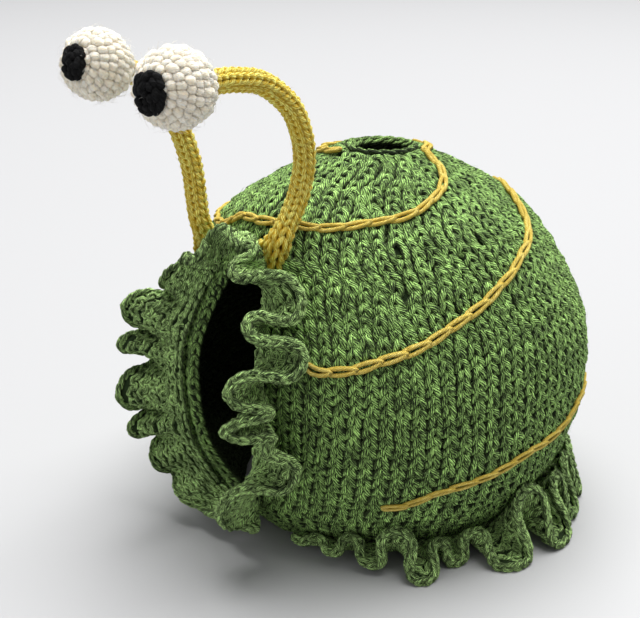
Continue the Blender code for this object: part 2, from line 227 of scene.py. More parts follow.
CHAIN_LOWER = (
    (172.0, 48.5),
    (150.0, 46.2),
    (130.0, 45.0),
    (114.5, 43.8),
    (107.0, 41.1),
    (96.0, 38.8),
    (81.5, 36.4),
    (70.0, 33.6),
    (61.5, 31.4),
    (53.5, 27.6),
    (47.0, 25.3),
)

# Eye stalks, and the feet that they splay into over the last stretch
STALK_RADIUS = 3.3
STALK_POINTS = 200
FOOT_RADIUS = 5.2
FOOT_GAP = 0.6
FOOT_LENGTH = 12.0
FOOT_SAG = 3.0
STALK_NEAR = {
    # foot: angle round the dome in degrees and height
    "foot": (8.5, 97.5),
    "path": (
        (13.0, -54.8, 104.5),
        (14.0, -49.6, 114.0),
        (14.9, -47.3, 122.7),
        (15.8, -47.6, 130.3),
        (16.7, -50.3, 138.1),
        (17.6, -55.1, 145.1),
        (18.5, -65.1, 152.0),
        (19.4, -77.0, 154.2),
        (20.0, -83.6, 154.2),
    ),
}
STALK_FAR = {
    "foot": (-25.5, 93.5),
    "path": (
        (-20.4, -59.2, 102.5),
        (-20.4, -60.6, 111.0),
        (-20.4, -61.6, 120.1),
        (-20.4, -64.3, 129.8),
        (-20.4, -68.6, 139.5),
        (-20.4, -75.5, 148.0),
        (-20.4, -82.2, 152.6),
    ),
}

# Eyes: the height of a crochet round and its yarn, how deep the stuffing lies, the degrees from a pupil's
# middle to its rim, and how far its crochet stands out there
EYE_PITCH = 2.7
EYE_YARN = 1.5
CORE_DEPTH = 1.6
PUPIL_SPREAD = 27.0
PUPIL_LIFT = 0.4
EYE_NEAR = {
    "centre": (20.3, -94.9, 154.2),
    "radius": 10.75,
    "looks": (0.28, -0.96, 0.03),
    # half its width and half its height
    "pupil": (4.9, 5.9),
}
EYE_FAR = {
    "centre": (-20.3, -92.7, 155.3),
    "radius": 10.1,
    "looks": (0.29, -0.94, 0.2),
    "pupil": (3.7, 5.0),
}
PUPIL_ROUNDS = (
    # share of the way to the rim, stitches, height over the rim, thickness
    (0.84, 12, 0.2, 1.1),
    (0.62, 9, 0.8, 1.3),
    (0.32, 5, 1.1, 1.4),
    (0.05, 2, 1.2, 1.4),
)

# Yarn: its radii, the points along a stitch and round a yarn, and how far each strand's texture is shifted
DOME_YARN = 1.18
FRILL_YARN = 0.96
STALK_YARN = 0.82
STITCH_SAMPLES = 11
YARN_SIDES = 6
STRAND_SHIFT = 3.7

# Knitting: the height of a row and the width of a wale
DOME_ROW = 3.4
STALK_ROW = 2.4
DOME_WALE = 4.9
FRILL_WALE = 3.5

# Wales in half the dome at the hem, at the fewest in half the dome at the top, and round a stalk
HALF_WALES = 41
FEWEST_WALES = 6
STALK_WALES = 5

# How deep the yarns lie, where rows start and end, and how near they come to the hem and the knob hole
FABRIC_DEPTH = 1.35
FIRST_ROW = 1.3
TOP_GAP = 2.0
HEM_CLEAR = 0.6
TOP_CLEAR = 0.4

# A loop: lean, tall and close are shares of its wale or row, deep is in millimetres, and full says how much
# thicker its legs are than its ends; then how uneven loops are, and how far rows and wales wander
LOOP_LEAN = 0.265
LOOP_TALL = 0.84
LOOP_CLOSE = 0.045
LOOP_DEEP = 0.78
LOOP_FULL = 0.14
UNEVEN_LEAN = 0.2
UNEVEN_TALL = 0.13
UNEVEN_DEEP = 0.28
UNEVEN_PLACE = 0.07
WANDER_ASIDE = 0.1
WANDER_UP = 0.13
# A stalk's loops; depth is how deep its yarn lies
STALK_LOOP = {"lean": 0.22, "tall": 0.72, "deep": 0.6, "depth": 1.15}

# The ground behind the stitches
GROUND_GAP = 0.1
GROUND_THICKNESS = 0.6

# Bound-off edges: pitch, half width and thickness of their links
EDGING_LINKS = (4.0, 1.0, 0.9)
EDGING_BACK = 3.0
EDGING_TILT = 0.6
FRILL_EDGE_LINKS = (3.4, 1.0, 0.85)
FRILL_EDGE_OUT = 0.3

# Loose fibres: their radius, how deep they start, how many there are and their reach
FUZZ_RADIUS = 0.05
FUZZ_ROOT = 0.3
FUZZ = {"dome": (2600, 2.4), "stalk": (260, 1.5), "eye": (450, 2.2)}

# Wools: their twist is the number of plies and the length of a turn; wool() tells what the rest is.
# Their dark colours are painted shade between the plies, and under is painted shade on each yarn's underside
GREEN = dict(dark=(0.009, 0.016, 0.005), light=(0.58, 0.97, 0.265), twist=(10, 12.0), under=0.0)
# Painted light: the frills' wool is the dome's green yarn made brighter, where less light reaches the frills
FRILL_GREEN_PAINTED_LIGHT = dict(
    dark=(0.011, 0.023, 0.006), light=(0.66, 1.0, 0.34), twist=(9, 11.0), under=0.5, two_faced=True, full=0.76
)
MUSTARD = dict(dark=(0.66, 0.46, 0.06), light=(1.0, 0.86, 0.27), twist=(7, 9.0), under=0.5, sheen=0.1)
# Painted light: the stalks' wool is the chains' mustard yarn made brighter, against the shade of their own
# stitches
STALK_MUSTARD_PAINTED_LIGHT = dict(
    dark=(0.72, 0.46, 0.028), light=(1.0, 0.95, 0.25), twist=(7, 9.0), under=0.22, sheen=0.14, full=0.66
)
WHITE = dict(dark=(0.86, 0.77, 0.6), light=(0.97, 0.92, 0.81), twist=(3, 9.0), under=0.5, soft=0.7)
BLACK = dict(dark=(0.001, 0.001, 0.001), light=(0.009, 0.009, 0.01), twist=(4, 6.0), under=0.15, sheen=0.01)

# Decreases towards the top, and the holes of loose stitches
DECREASE_EVERY = 4
DECREASE_ABOVE = 90.0
HOLES = (
    # angle round the dome in degrees, distance from the hem, width
    (51.5, 112.8, 1.4),
    (40.0, 108.0, 1.0),
    (35.5, 104.7, 0.8),
    (53.0, 98.9, 1.3),
    (48.5, 93.7, 0.8),
    (30.0, 95.6, 0.7),
    (73.5, 109.4, 1.1),
    (49.5, 100.8, 0.9),
    (53.5, 78.8, 0.7),
    (82.5, 113.3, 1.2),
    (65.0, 121.0, 0.8),
    (28.0, 113.3, 0.7),
    (39.0, 140.5, 0.7),
    (56.5, 136.7, 0.7),
    (110.0, 111.0, 1.1),
    (140.0, 102.0, 1.0),
    (-50.0, 112.0, 1.2),
    (-80.0, 104.0, 1.0),
    (-115.0, 114.0, 1.1),
    (-145.0, 100.0, 0.9),
)


# Curves and the dome's face


def unit(vectors):
    """The vectors at length one."""
    vectors = np.asarray(vectors, float)
    return vectors / np.maximum(np.linalg.norm(vectors, axis=-1, keepdims=True), 1e-9)


def run_length(points):
    """Distance along a line of points."""
    steps = np.linalg.norm(np.diff(points, axis=0), axis=1)
    return np.concatenate([[0], np.cumsum(steps)])


def points_along(line, lengths, where):
    """The points of a line at these distances along it."""
    return np.stack([np.interp(where, lengths, column) for column in line.T], -1)


def smooth_curve(points, count):
    """A Catmull-Rom curve through the points, as evenly spaced samples."""
    points = np.asarray(points, float)
    padded = np.vstack([2 * points[0] - points[1], points, 2 * points[-1] - points[-2]])
    samples = []
    for first in range(len(points) - 1):
        a, b, c, d = padded[first : first + 4]
        for t in np.linspace(0, 1, 24, endpoint=False):
            straight = 2 * b + (c - a) * t
            bend = (2 * a - 5 * b + 4 * c - d) * t**2
            twist = (3 * b - a - 3 * c + d) * t**3
            samples.append(0.5 * (straight + bend + twist))
    samples.append(points[-1])
    samples = np.array(samples)
    lengths = run_length(samples)
    return points_along(samples, lengths, np.linspace(0, lengths[-1], count))


OUTLINE = smooth_curve(PROFILE, 400)
OUTLINE_S = run_length(OUTLINE)
DOME_S = OUTLINE_S[-1]


def outline_at(s):
    """Height and radius of the dome's outline at distance s from the hem."""
    return np.interp(s, OUTLINE_S, OUTLINE[:, 0]), np.interp(s, OUTLINE_S, OUTLINE[:, 1])


def s_at_height(height):
    """Distance from the hem, along the outline, of this height."""
    return np.interp(height, OUTLINE[:, 0], OUTLINE_S)


def swell(angle, s):
    """How far the knitting stands out from the plain outline here."""
    turn = (np.asarray(angle) + math.pi) % (2 * math.pi) - math.pi
    radius = outline_at(s)[1]
    across = turn * radius / BULGE["across"]
    along = (s - BULGE["s"]) / BULGE["along"]
    spout = BULGE["height"] * np.exp(-0.5 * across**2 - 0.5 * along**2)
    # Slow dents, which fade out at the hem and at the knob hole
    dents = 0.45 * np.sin(5 * turn + 0.06 * s) + 0.35 * np.sin(3 * turn - 0.09 * s + 1.0)
    fade = np.clip(s / DENT_FADE, 0, 1) * np.clip((DOME_S - s) / DENT_FADE, 0, 1)
    return spout + dents * fade


def dome_only(angle, s):
    """A point of the dome's outer face."""
    step = 0.5
    low_height, low_radius = outline_at(np.clip(s - step, 0, DOME_S))
    top_height, top_radius = outline_at(np.clip(s + step, 0, DOME_S))
    slope = unit(np.stack([top_radius - low_radius, top_height - low_height], -1))
    height, radius = outline_at(s)
    out = swell(angle, s)
    radius = radius + out * slope[..., 1]
    height = height - out * slope[..., 0]
    return np.stack([radius * np.sin(angle), -radius * np.cos(angle), height], -1)


def dome(angle, s, lift=0.0):
    """A point at this height above the dome's outer face, with the way out of the face there."""
    angle, s = np.broadcast_arrays(np.asarray(angle, float), np.asarray(s, float))
    step = 0.4
    turn = step / 60
    round_it = dome_only(angle + turn, s) - dome_only(angle - turn, s)
    above = dome_only(angle, np.clip(s + step, 0, DOME_S))
    below = dome_only(angle, np.clip(s - step, 0, DOME_S))
    out = unit(np.cross(round_it, above - below))
    return dome_only(angle, s) + np.asarray(lift)[..., None] * out, out


def slit_ends(slit):
    """Distances from the hem of a slit's two ends."""
    return s_at_height(slit["low"]), s_at_height(slit["high"])


def openness(slit, s):
    """The square of an elliptical slit's width at distance s from the hem, as a share of its widest."""
    low, high = slit_ends(slit)
    along = (2 * s - low - high) / (high - low)
    return np.maximum(0.0, 1 - along**2)


def slit_edge(slit, s):
    """Angle between the middle of a slit and its edge, at distance s from the hem."""
    return slit["half_width"] * np.sqrt(openness(slit, s)) / outline_at(s)[1]


def slit_ring(slit, turn, inset):
    """Angles and distances from the hem of a ring this far outside a slit, starting at its low end."""
    low, high = slit_ends(slit)
    s = (low + high) / 2 - np.cos(turn) * ((high - low) / 2 + inset)
    return np.sin(turn) * (slit["half_width"] + inset) / outline_at(s)[1], s


def parted(slit, s, away):
    """How far a slit pushes the wales aside at distance s from the hem, this far from its middle line."""
    soft = away / SLIT_FADE
    open_here = np.sqrt(openness(slit, s) + soft**2) - soft
    return slit["half_width"] * open_here * (1 - away / (math.pi * outline_at(s)[1]))


# Pieces and stitches


def new_object(name, data):
    """A new object in the scene."""
    thing = bpy.data.objects.new(name, data)
    bpy.context.scene.collection.objects.link(thing)
    return thing


def new_piece(name, points, faces, material, yarn=None):
    """A smooth piece from points in millimetres; yarn holds how far along and how far round each point is."""
    points = np.asarray(points, float) + (AXIS_X, AXIS_Y, 0.0)
    points[:, 2] = np.maximum(points[:, 2], 0.0)
    if isinstance(faces, list):
        sizes = np.array([len(face) for face in faces])
        corners = np.concatenate(faces)
    else:
        sizes = np.full(len(faces), faces.shape[1])
        corners = faces.ravel()
    starts = np.concatenate([[0], np.cumsum(sizes)[:-1]])
    mesh = bpy.data.meshes.new(name)
    mesh.vertices.add(len(points))
    mesh.vertices.foreach_set("co", (points / 1000).ravel())
    mesh.loops.add(len(corners))
    mesh.loops.foreach_set("vertex_index", corners.astype(np.int32))
    mesh.polygons.add(len(sizes))
    mesh.polygons.foreach_set("loop_start", starts.astype(np.int32))
    mesh.update(calc_edges=True)
    mesh.polygons.foreach_set("use_smooth", np.ones(len(sizes), bool))
    if yarn is not None:
        attribute = mesh.attributes.new("yarn", "FLOAT_VECTOR", "POINT")
        attribute.data.foreach_set("vector", np.asarray(yarn, float).ravel())
    mesh.materials.append(material)
    piece = new_object(name, mesh)
    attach(piece, "root")
    return piece


def yarn_piece(name, strands, radius, material, sides=YARN_SIDES, closed=False):
    """Tubes along strands; each strand is its centres, the way out of the cloth at each and its fullness."""
    points = []
    faces = []
    marks = []
    offset = 0
    along_before = 0.0
    turns = 2 * math.pi * np.arange(sides) / sides
    cosines = np.cos(turns)[None, :, None]
    sines = np.sin(turns)[None, :, None]
    for centres, ups, fullness in strands:
        count = len(centres)
        if closed:
            ahead = unit(np.roll(centres, -1, axis=0) - np.roll(centres, 1, axis=0))
        else:
            ahead = unit(np.gradient(centres, axis=0))
        side = unit(np.cross(ahead, ups))
        over = np.cross(side, ahead)
        along = along_before + run_length(centres)
        along_before = along[-1] + STRAND_SHIFT
        slubs = 1 + 0.05 * np.sin(along * 1.3) + 0.04 * np.sin(along * 0.37 + 1.0)
        thick = radius * fullness * slubs
        ring = side[:, None] * cosines + over[:, None] * sines
        points.append((centres[:, None] + ring * thick[:, None, None]).reshape(-1, 3))
        mark = np.empty((count, sides, 3))
        mark[..., 0] = along[:, None]
        mark[..., 1] = np.cos(turns)
        mark[..., 2] = np.sin(turns)
        marks.append(mark.reshape(-1, 3))
        i = np.arange(count if closed else count - 1)[:, None]
        k = np.arange(sides)[None]
        here = i * sides
        after = (i + 1) % count * sides
        beside = (k + 1) % sides
        quads = np.stack([here + k, here + beside, after + beside, after + k], -1)
        faces.append(offset + quads.reshape(-1, 4))
        offset += count * sides
    points, faces, marks = (np.concatenate(part) for part in (points, faces, marks))
    return new_piece(name, points, faces, material, marks)


def look_up(table, i, k):
    """The vectors of a table at places that may lie between its rows and columns."""
    i0 = np.clip(i.astype(int), 0, table.shape[0] - 2)
    k0 = np.clip(k.astype(int), 0, table.shape[1] - 2)
    past_i = (i - i0)[:, None]
    past_k = (k - k0)[:, None]
    low = table[i0, k0] * (1 - past_i) + table[i0 + 1, k0] * past_i
    high = table[i0, k0 + 1] * (1 - past_i) + table[i0 + 1, k0 + 1] * past_i
    return low * (1 - past_k) + high * past_k


def knit_rows(surface, rows, random):
    """Strands of stockinette, one a row: each stitch is a loop that stands in front between its two ends.

    The rows say each one's height, counted in rows, and the wales that it has stitches in."""
    strands = []
    wander = random.uniform(0, 6, 2)
    for row, wales in rows:
        count = len(wales)
        u = np.arange(count * STITCH_SAMPLES + 1) / STITCH_SAMPLES
        stitch = np.minimum(u.astype(int), count - 1)
        t = 2 * math.pi * (u - stitch - 0.5)
        uneven = random.normal(0, 1, (4, count + 1))
        wide, tall, deep, shift = (np.interp(u, np.arange(count + 1), line) for line in uneven)
        x = np.asarray(wales)[stitch] + u - stitch + LOOP_LEAN * (1 + UNEVEN_LEAN * wide) * np.sin(2 * t)
        aside = WANDER_ASIDE * np.sin(0.43 * row + 0.31 * x + wander[0])
        x = x - LOOP_CLOSE * np.sin(t) + UNEVEN_PLACE * shift + aside
        up = WANDER_UP * np.sin(0.57 * x + 0.21 * row + wander[1])
        y = row + 0.5 - LOOP_TALL * (1 + UNEVEN_TALL * tall) * np.cos(t) + up
        z = -FABRIC_DEPTH - LOOP_DEEP * np.cos(2 * t) + UNEVEN_DEEP * deep
        place, out = surface(x, y, z)
        strands.append((place, out, 1 - LOOP_FULL * np.cos(2 * t)))
    return strands


# Dome


def wales_ending(rows):
    """The row in which each wale of half the dome is knitted together with the next."""
    never = 1e6
    ends = np.full(HALF_WALES, never)
    random = np.random.default_rng(3)
    for row in range(0, rows, DECREASE_EVERY):
        height, radius = outline_at(FIRST_ROW + (row + DECREASE_EVERY / 2) * DOME_ROW)
        alive = np.flatnonzero(ends > row)
        spare = len(alive) - max(FEWEST_WALES, int(round(math.pi * radius / DOME_WALE)))
        if height < DECREASE_ABOVE or spare < 1:
            continue
        picks = (np.arange(spare) + random.uniform(0.2, 0.8)) * len(alive) / spare
        ends[alive[picks.astype(int)]] = row + random.integers(0, 2, spare)
    return ends


def on_cloth(s):
    """The distance from the hem, kept between the edges of the cloth."""
    return np.clip(s, HEM_CLEAR, DOME_S - TOP_CLEAR)


def push_from_holes(angle, s):
    """Places on the dome, moved aside where a loose stitch leaves a hole."""
    for at, along, wide in HOLES:
        radius = outline_at(s)[1]
        across = (angle - math.radians(at)) * radius
        above = s - along
        distance = np.hypot(across, above) + 0.01
        push = wide * np.exp(-((distance / (2.0 * wide)) ** 2)) / distance
        angle = angle + across * push / radius
        s = on_cloth(s + above * push)
    return angle, s


def dome_half(side, ends, rows):
    """The surface of half the dome for knit_rows: wale, row and height above the outer face."""
    per_row = 4
    margin = 2
    taper = 3.5
    steps = np.arange(-margin, rows + margin, 1 / per_row)
    widths = np.clip((ends[None] - steps[:, None]) / taper, 0, 1)
    shares = np.concatenate([np.zeros((len(steps), 1)), np.cumsum(widths, 1)], 1)
    shares = shares / shares[:, -1:]

    def surface(wale, row, lift):
        i = np.clip((row + margin) * per_row, 0, len(steps) - 1.001)
        k = np.clip(wale, 0, HALF_WALES - 0.001)
        share = look_up(shares[..., None], i, k)[:, 0]
        s = on_cloth(FIRST_ROW + row * DOME_ROW)
        radius = outline_at(s)[1]
        half = math.pi * radius
        shift = parted(SPOUT_SLIT, s, half * share) - parted(HANDLE_SLIT, s, half * (1 - share))
        angle = side * (math.pi * share + shift / radius)
        return dome(*push_from_holes(angle, s), lift)

    return surface


def build_dome(material, base_material):
    """The dome's stitches, its edgings and the ground behind them."""
    rows = int((DOME_S - TOP_GAP) / DOME_ROW)
    middle = rows // 2
    ends = wales_ending(rows)
    random = np.random.default_rng(7)
    pieces = []
    for side, word in ((1, "near"), (-1, "far")):
        knitted = [(row, np.flatnonzero(ends > row)) for row in range(rows)]
        strands = knit_rows(dome_half(side, ends, rows), knitted, random)
        for level, share in (("low", strands[:middle]), ("high", strands[middle:])):
            pieces.append(yarn_piece(f"dome_{word}_{level}", share, DOME_YARN, material))
    pieces += build_edgings(material)
    base = build_dome_base(base_material)
    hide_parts("body")


def build_edgings(material):
    """The cast-off chains round the slits, the knob hole and the hem."""
    turn = np.linspace(0, 2 * math.pi, 500)
    # Name, then the edge and a line behind it, both as angle and distance from the hem
    edges = [
        ("knob_hole_edging", (turn, DOME_S - 0.5), (turn, DOME_S - 3.0)),
        ("hem_edging", (turn, 1.2), (turn, 4.0)),
    ]
    for name, slit, facing in (
        ("spout_slit_edging", SPOUT_SLIT, 0.0),
        ("handle_slit_edging", HANDLE_SLIT, math.pi),
    ):
        angle, s = slit_ring(slit, turn, 0.0)
        back_angle, back_s = slit_ring(slit, turn, EDGING_BACK)
        edges.append((name, (facing + angle, s), (facing + back_angle, back_s)))
    pieces = []
    for name, edge, back in edges:
        line, out = dome(*edge, -FABRIC_DEPTH)
        away = unit(line - dome(*back, -FABRIC_DEPTH)[0])
        ups = unit(away + EDGING_TILT * out)
        pieces.append(build_links(name, line, ups, *EDGING_LINKS, material, "green_wool"))
    return pieces


def close_sheet(outer, inner, faces):
    """The faces of a solid between two copies of a sheet, with walls along its free edges."""
    count = len(outer)
    used = set()
    for face in faces:
        used.update(zip(face, face[1:] + face[:1]))
    solid = list(faces)
    solid += [tuple(count + corner for corner in reversed(face)) for face in faces]
    for first, second in used:
        if (second, first) not in used:
            solid.append((second, first, count + first, count + second))
    return np.vstack([outer, inner]), solid


def build_dome_base(material):
    """The thin ground behind the stitches, which closes the gaps between them; its dark wool is painted
    shade.
    """
    columns = 48
    rows = np.concatenate([[0.9, 2.0], np.linspace(4.0, DOME_S - 0.8, 60)])
    index = {}
    outer = []
    inner = []

    def corner(angle, s):
        """The number of the corner here, which the two halves share on the middle lines."""
        key = (round(math.cos(angle), 5), round(math.sin(angle), 5), round(float(s), 4))
        if key not in index:
            index[key] = len(outer)
            point, out = dome(angle, s, -FABRIC_DEPTH - GROUND_GAP)
            outer.append(point)
            inner.append(point - GROUND_THICKNESS * out)
        return index[key]

    faces = []
    for side in (1, -1):
        grid = []
        for s in rows:
            start = float(slit_edge(SPOUT_SLIT, s))
            end = math.pi - float(slit_edge(HANDLE_SLIT, s))
            angles = [side * (start + (end - start) * c / columns) for c in range(columns + 1)]
            grid.append([corner(angle, s) for angle in angles])
        for low, high in zip(grid, grid[1:]):
            for c in range(columns):
                face = (low[c], low[c + 1], high[c + 1], high[c])
                faces.append(face if side == 1 else tuple(reversed(face)))
    points, solid = close_sheet(outer, inner, faces)
    return new_piece("dome_ground", points, solid, material)


# Frills


def waves(table):
    """Along a frill: the share of the root passed, the swing's phase and the table's columns."""
    table = np.asarray(table, float)
    edges = np.concatenate([[0], np.cumsum(table[:, 0])]) / table[:, 0].sum()
    middles = (edges[:-1] + edges[1:]) / 2
    steps = np.linspace(0, len(table), len(table) * WAVE_SAMPLES + 1)
    share = np.interp(steps, np.arange(len(edges)), edges)
    return share, steps * math.pi, [np.interp(share, middles, column) for column in table.T]


def swing_out(root, ahead, forward, sideways, phase, width, swing, reach):
    """The cloth between a root line and its waving outer edge, whose folds open out like a loop."""
    grid = []
    loop = FRILL_LOOP * width * np.clip(swing / FULL_SWING, 0, 1)
    for v in np.linspace(0, 1, REACH_SAMPLES + 1):
        out = forward * (reach * v)[:, None]
        side = sideways * (-swing * v**1.45 * np.sin(phase))[:, None]
        sway = ahead * (-loop * v**1.5 * np.sin(2 * phase))[:, None]
        grid.append(root + out + side + sway)
    return np.stack(grid, 1)


def spout_frill_grid():
    """The middle of the ruffled strip sewn round the spout slit."""
    share, phase, (width, swing, reach, fold) = waves(SPOUT_FRILL)
    fold = np.radians(fold)

    def ring(turn, lift=0.0):
        return dome(*slit_ring(SPOUT_SLIT, turn, ROOT_INSET), lift)

    start = 0.05
    step = 0.01
    dense = np.linspace(start, 2 * math.pi - start, 600)
    length = run_length(ring(dense)[0])
    turn = np.interp(share * length[-1], length, dense)
    root, out = ring(turn, ROOT_GAP + FRILL_CLOTH / 2)
    ahead = unit(ring(turn + step)[0] - ring(turn - step)[0])
    away = unit(np.cross(ahead, out))
    forward = out * np.cos(fold)[:, None] + away * np.sin(fold)[:, None]
    sideways = away * np.cos(fold)[:, None] - out * np.sin(fold)[:, None]
    return swing_out(root, ahead, forward, sideways, phase, width, swing, reach)


def hem_frill_grid():
    """The middle of the ruffled strip knitted on round the hem; its low folds lie on the table."""
    table = HEM_FRILL_SIDE + HEM_FRILL_BACK * HEM_FRILL_BACK_REPEATS + HEM_FRILL_END
    share, phase, (width, swing, reach, rise) = waves(table)
    width = np.radians(width) * HEM_FRILL_MIDDLE
    rise = np.radians(rise)
    start = math.radians(HEM_FRILL_STARTS)
    angle = start + share * 2 * (math.pi - start)
    root = dome(angle, s_at_height(HEM_ROOT_HEIGHT), ROOT_GAP + FRILL_CLOTH / 2)[0]
    ahead = np.stack([np.cos(angle), np.sin(angle), 0 * angle], -1)
    outward = np.stack([np.sin(angle), -np.cos(angle), 0 * angle], -1)
    up = np.array([0.0, 0.0, 1.0])
    forward = outward * np.cos(rise)[:, None] + up * np.sin(rise)[:, None]
    sideways = up * np.cos(rise)[:, None] - outward * np.sin(rise)[:, None]
    grid = swing_out(root, ahead, forward, sideways, phase, width, swing, reach)
    grid[..., 2] = np.maximum(grid[..., 2], FRILL_CLOTH / 2)
    return grid


def grid_normals(grid):
    """The way out of the cloth at each point of a grid."""
    return unit(np.cross(np.gradient(grid, axis=0), np.gradient(grid, axis=1)))


def grid_surface(grid, rows):
    """The surface of a frill for knit_rows: share along it, row and height above its middle; and its length.

    Both are measured three quarters of the way out, where the stitches are even."""
    normals = grid_normals(grid)
    length, across = grid.shape[:2]
    measured = run_length(grid[:, int(across * 0.75)])
    shares = measured / measured[-1]
    past_edge = 1.03

    def surface(share, row, lift):
        i = np.interp(share, shares, np.arange(length))
        k = np.clip(row / rows, 0, past_edge) * (across - 1)
        out = unit(look_up(normals, i, k))
        return look_up(grid, i, k) + np.asarray(lift)[..., None] * out, out

    return surface, measured[-1]


def build_frill(name, node, grid, rows, material, base_material, seed):
    """A knitted frill: rows of stitches along it, its bound-off edge and its thin ground."""
    surface, length = grid_surface(grid, rows)
    random = np.random.default_rng(seed)
    half_count = int(length / FRILL_WALE / 2)
    count = 2 * half_count

    def knitted_at(wales):
        return lambda wale, row, lift: surface(wale / wales, row, lift + FABRIC_DEPTH)

    strands = knit_rows(knitted_at(half_count), [(0, np.arange(half_count))], random)
    strands += knit_rows(knitted_at(count), [(row, np.arange(count)) for row in range(1, rows)], random)
    knitted = yarn_piece(f"{name}_stitches", strands, FRILL_YARN, material)
    share = np.linspace(0, 1, 6 * count)
    edge = surface(share, np.full_like(share, rows), 0.0)[0]
    inside = surface(share, np.full_like(share, rows - 0.5), 0.0)[0]
    outward = unit(edge - inside)
    line = edge + FRILL_EDGE_OUT * outward
    bound = build_links(f"{name}_edge", line, outward, *FRILL_EDGE_LINKS, material, "green_wool")
    ground = build_frill_base(f"{name}_ground", grid, base_material)
    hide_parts(node)


def build_frill_base(name, grid, material):
    """The thin ground in the middle of a frill, in the dark wool of painted shade."""
    coarse = grid[::2, ::2]
    half = grid_normals(coarse) * GROUND_THICKNESS / 2
    length, across = coarse.shape[:2]
    faces = []
    for i in range(length - 1):
        for k in range(across - 1):
            here = i * across + k
            faces.append((here, here + across, here + across + 1, here + 1))
    outer = (coarse + half).reshape(-1, 3)
    inner = (coarse - half).reshape(-1, 3)
    points, solid = close_sheet(outer, inner, faces)
    return new_piece(name, points, solid, material)


# Chains


def build_links(name, line, ups, pitch, half_width, thickness, material, slot, random=None):
    """A chain of loops along a line; each loop starts on top of the one before and ends under the next."""
    lengths = run_length(line)
    count = max(2, int(round(lengths[-1] / pitch)))
    pitch = lengths[-1] / count
    # One loop, which is narrow where it starts: along in links, aside in half widths and up in thicknesses
    t = 2 * math.pi * np.arange(14) / 14
    x = 0.62 * (1 - np.cos(t)) - 0.1
    y = np.sin(t) * (0.7 + 0.45 * (1 - np.cos(t)) / 2)
    z = 0.6 * np.cos(t)
    step = 0.4
    strands = []
    drift = np.zeros(count + 3) if random is None else random.normal(0, 0.3, count + 3)
    for link in range(count):
        where = np.clip((link + x) * pitch, 0, lengths[-1])
        centre = points_along(line, lengths, where)
        up = unit(points_along(ups, lengths, where))
        near = points_along(line, lengths, np.clip(where + step, 0, lengths[-1]))
        back = points_along(line, lengths, np.clip(where - step, 0, lengths[-1]))
        side = unit(np.cross(unit(near - back), up))
        wobble = 1.0 if random is None else 1 + 0.12 * random.normal()
        aside = y * half_width * wobble + np.interp(link + x, np.arange(-1, count + 2), drift)
        points = centre + side * aside[:, None] + up * (z * thickness)[:, None]
        strands.append((points, up, 1.0))
    return yarn_piece(name, strands, thickness, material, closed=True)


def chain_line(table):
    """The middle line of one run of the sewn chain, on the dome, with the way out at each point."""
    rows = smooth_curve([(angle * DEGREE_LENGTH, height) for angle, height in table], 700)
    return dome(np.radians(rows[:, 0] / DEGREE_LENGTH), s_at_height(rows[:, 1]), CHAIN_LIFT)


def build_chains(material):
    """The three runs of crocheted chain that draw the shell's spiral."""
    random = np.random.default_rng(5)
    for name, table, width in (
        ("chain_upper", CHAIN_UPPER, 1.0),
        ("chain_far", CHAIN_FAR, 1.0),
        ("chain_lower", CHAIN_LOWER, 0.8),
    ):
        line, ups = chain_line(table)
        size = (CHAIN_PITCH, width, 0.7 * width)
        piece = build_links(f"{name}_links", line, ups, *size, material, "mustard_wool", random)
        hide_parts(name)


# Stalks and eyes


def build_stalk(name, stalk, material):
    """A knitted cord on a bent wire, splayed where it is sewn on; its stitches run round it in one spiral."""
    angle, height = stalk["foot"]
    angle = math.radians(angle)
    foot = dome(angle, s_at_height(height), FOOT_GAP)[0]
    down_slope = unit(dome(angle, s_at_height(height - FOOT_SAG))[0] - foot)
    centres = smooth_curve([tuple(foot)] + list(stalk["path"]), STALK_POINTS)
    ahead = unit(np.gradient(centres, axis=0))
    across = unit(np.cross(ahead, np.cross((1.0, 0.0, 0.0), ahead)))
    up = np.cross(across, ahead)
    rows = int(run_length(centres)[-1] / STALK_ROW)
    numbers = np.arange(STALK_POINTS)
    first_turn = 0.4
    oval = 0.3

    def surface(share, row, lift):
        where = np.clip(row / rows, 0, 1) * numbers[-1]
        centre, side, top = (points_along(table, numbers, where) for table in (centres, across, up))
        splay = np.clip(1 - row * STALK_ROW / FOOT_LENGTH, 0, 1)
        radius = STALK_RADIUS + (FOOT_RADIUS - STALK_RADIUS) * splay**1.5
        turn = 2 * math.pi * share + first_turn
        way = side * np.cos(turn)[:, None] + top * np.sin(turn)[:, None]
        way = way * (1 + oval * splay * np.cos(2 * turn))[:, None]
        sag = down_slope * (FOOT_SAG * splay**1.5)[:, None]
        return centre + way * (radius + lift)[:, None] + sag, unit(way)

    u = np.arange(rows * STALK_WALES * STITCH_SAMPLES + 1) / STITCH_SAMPLES
    t = 2 * math.pi * (u % 1.0 - 0.5)
    x = u + STALK_LOOP["lean"] * np.sin(2 * t)
    y = u / STALK_WALES + STALK_LOOP["tall"] * np.cos(t)
    z = -STALK_LOOP["depth"] - STALK_LOOP["deep"] * np.cos(2 * t)
    place, out = surface(x / STALK_WALES, y, z)
    strand = (place, out, 1 - LOOP_FULL * np.cos(2 * t))
    knitted = yarn_piece(name, [strand], STALK_YARN, material)
    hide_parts(name.replace("_cord", ""))


def ball_frame(eye):
    """The way an eye looks, and two ways square to it: one level, one up."""
    looks = unit(eye["looks"])
    side = unit(np.cross(looks, (0.0, 0.0, 1.0)))
    return looks, side, np.cross(side, looks)


def full_ends(count):
    """Places along a short strand from -1 to 1, and its fullness there: it closes at both ends."""
    t = np.linspace(-1, 1, count)
    return t, np.sqrt(np.maximum(0.0, 1 - np.abs(t) ** 2.6)) + 0.02


